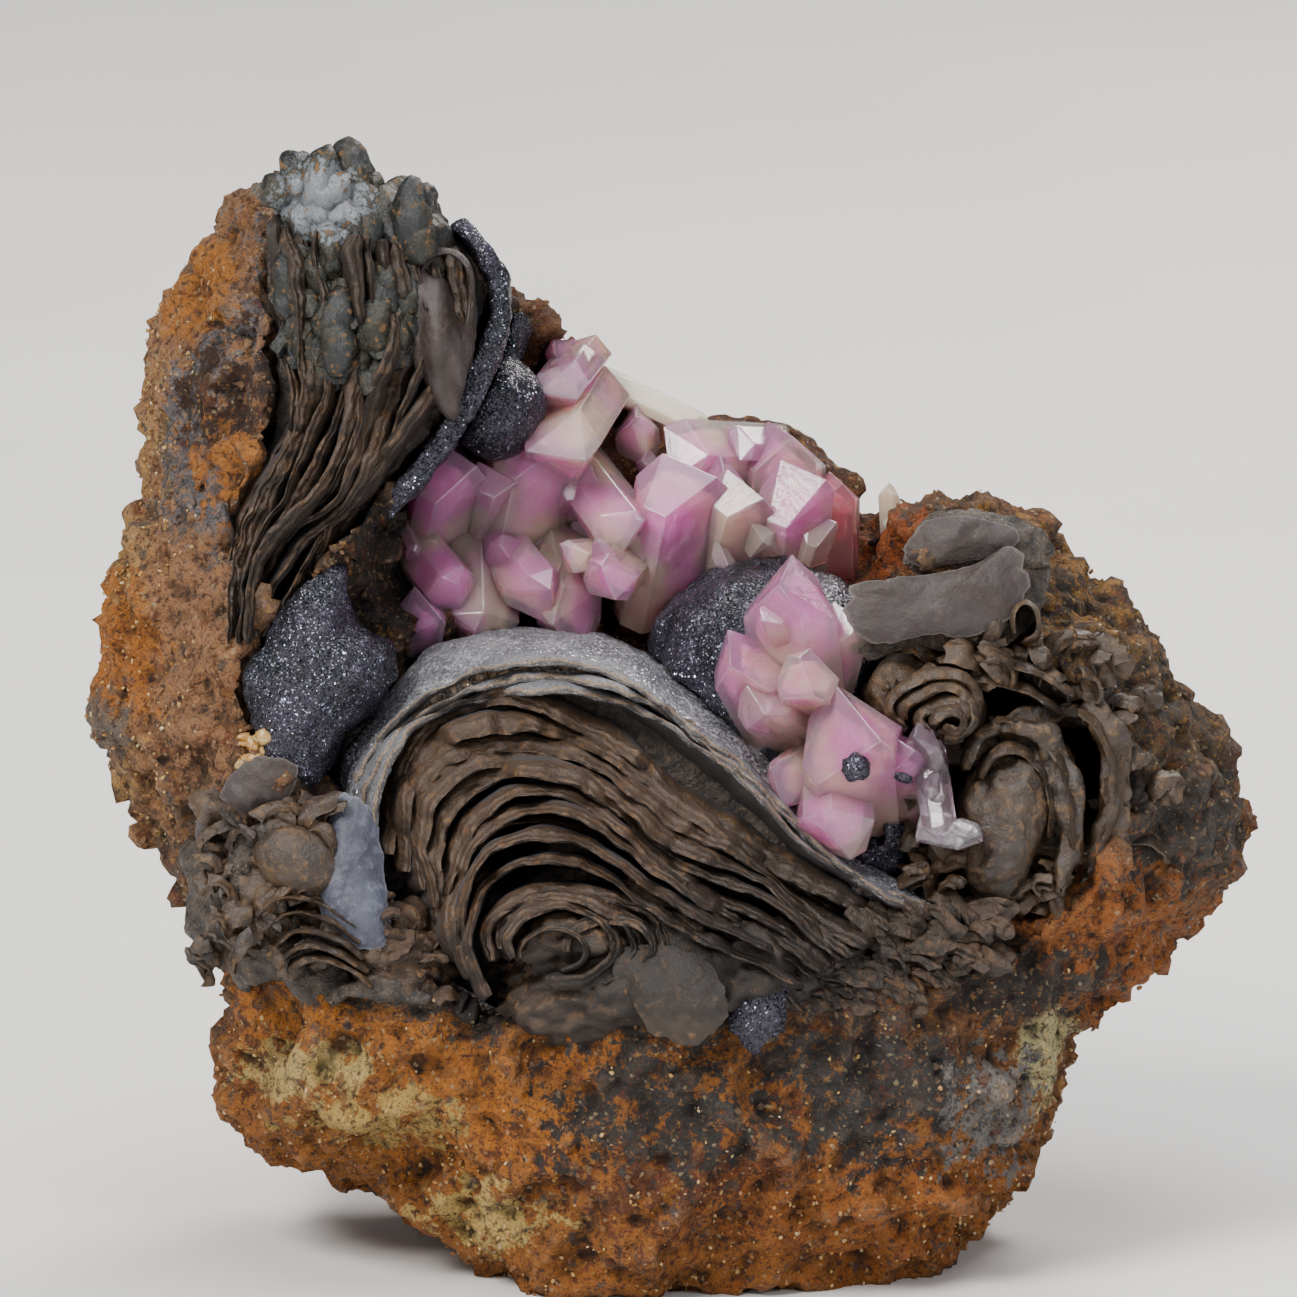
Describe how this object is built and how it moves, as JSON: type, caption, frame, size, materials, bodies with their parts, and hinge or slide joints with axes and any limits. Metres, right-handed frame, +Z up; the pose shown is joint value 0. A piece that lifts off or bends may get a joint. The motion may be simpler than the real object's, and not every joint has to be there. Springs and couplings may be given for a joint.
{
  "type": "mineral specimen",
  "caption": "Cabinet mineral specimen: pink translucent crystals in an open pocket of a rusty, laminated iron oxide rock that stands on a trimmed foot.",
  "frame": {"origin": "middle of the bounding box, at the height of the trimmed foot", "axes": "+Z up, +Y away from the side with the open pocket, +X to the right as that side is seen"},
  "size_m": [0.115, 0.0752, 0.1107],
  "materials": {
    "adamite": "translucent pink crystal with a glassy lustre",
    "pale_adamite": "translucent cream crystal with a glassy lustre",
    "goethite_plate": "satin mauve-brown",
    "laminated_goethite": "broken brown edges with a silky sheen",
    "pale_druse": "fine pale grey sparkling druse",
    "dark_druse": "near-black sparkling druse",
    "limonite": "matt, earthy and rough"
  },
  "bodies": {
    "root": {"front_adamite": "adamite", "broken_blades": "pale_adamite", "pocket_adamite": "adamite", "rim_crystal": "adamite", "small_rim_crystals": "pale_adamite", "pale_blade": "pale_adamite", "upper_left_adamite": "adamite", "lower_plate": "goethite_plate", "left_curls": "laminated_goethite", "dome_druse_shell": "pale_druse", "laminated_dome": "laminated_goethite", "upper_petal": "goethite_plate", "large_petal": "goethite_plate", "hollow_curl_left": "laminated_goethite", "hollow_curl_main": "laminated_goethite", "hollow_curl_right": "laminated_goethite", "column_druse_rim": "pale_druse", "laminated_column": "laminated_goethite", "left_druse_sheet": "dark_druse", "upper_druse_ball": "dark_druse", "druse_mound": "dark_druse", "lower_druse_patch": "dark_druse", "limonite_matrix": "limonite"}
  },
  "joints": []
}
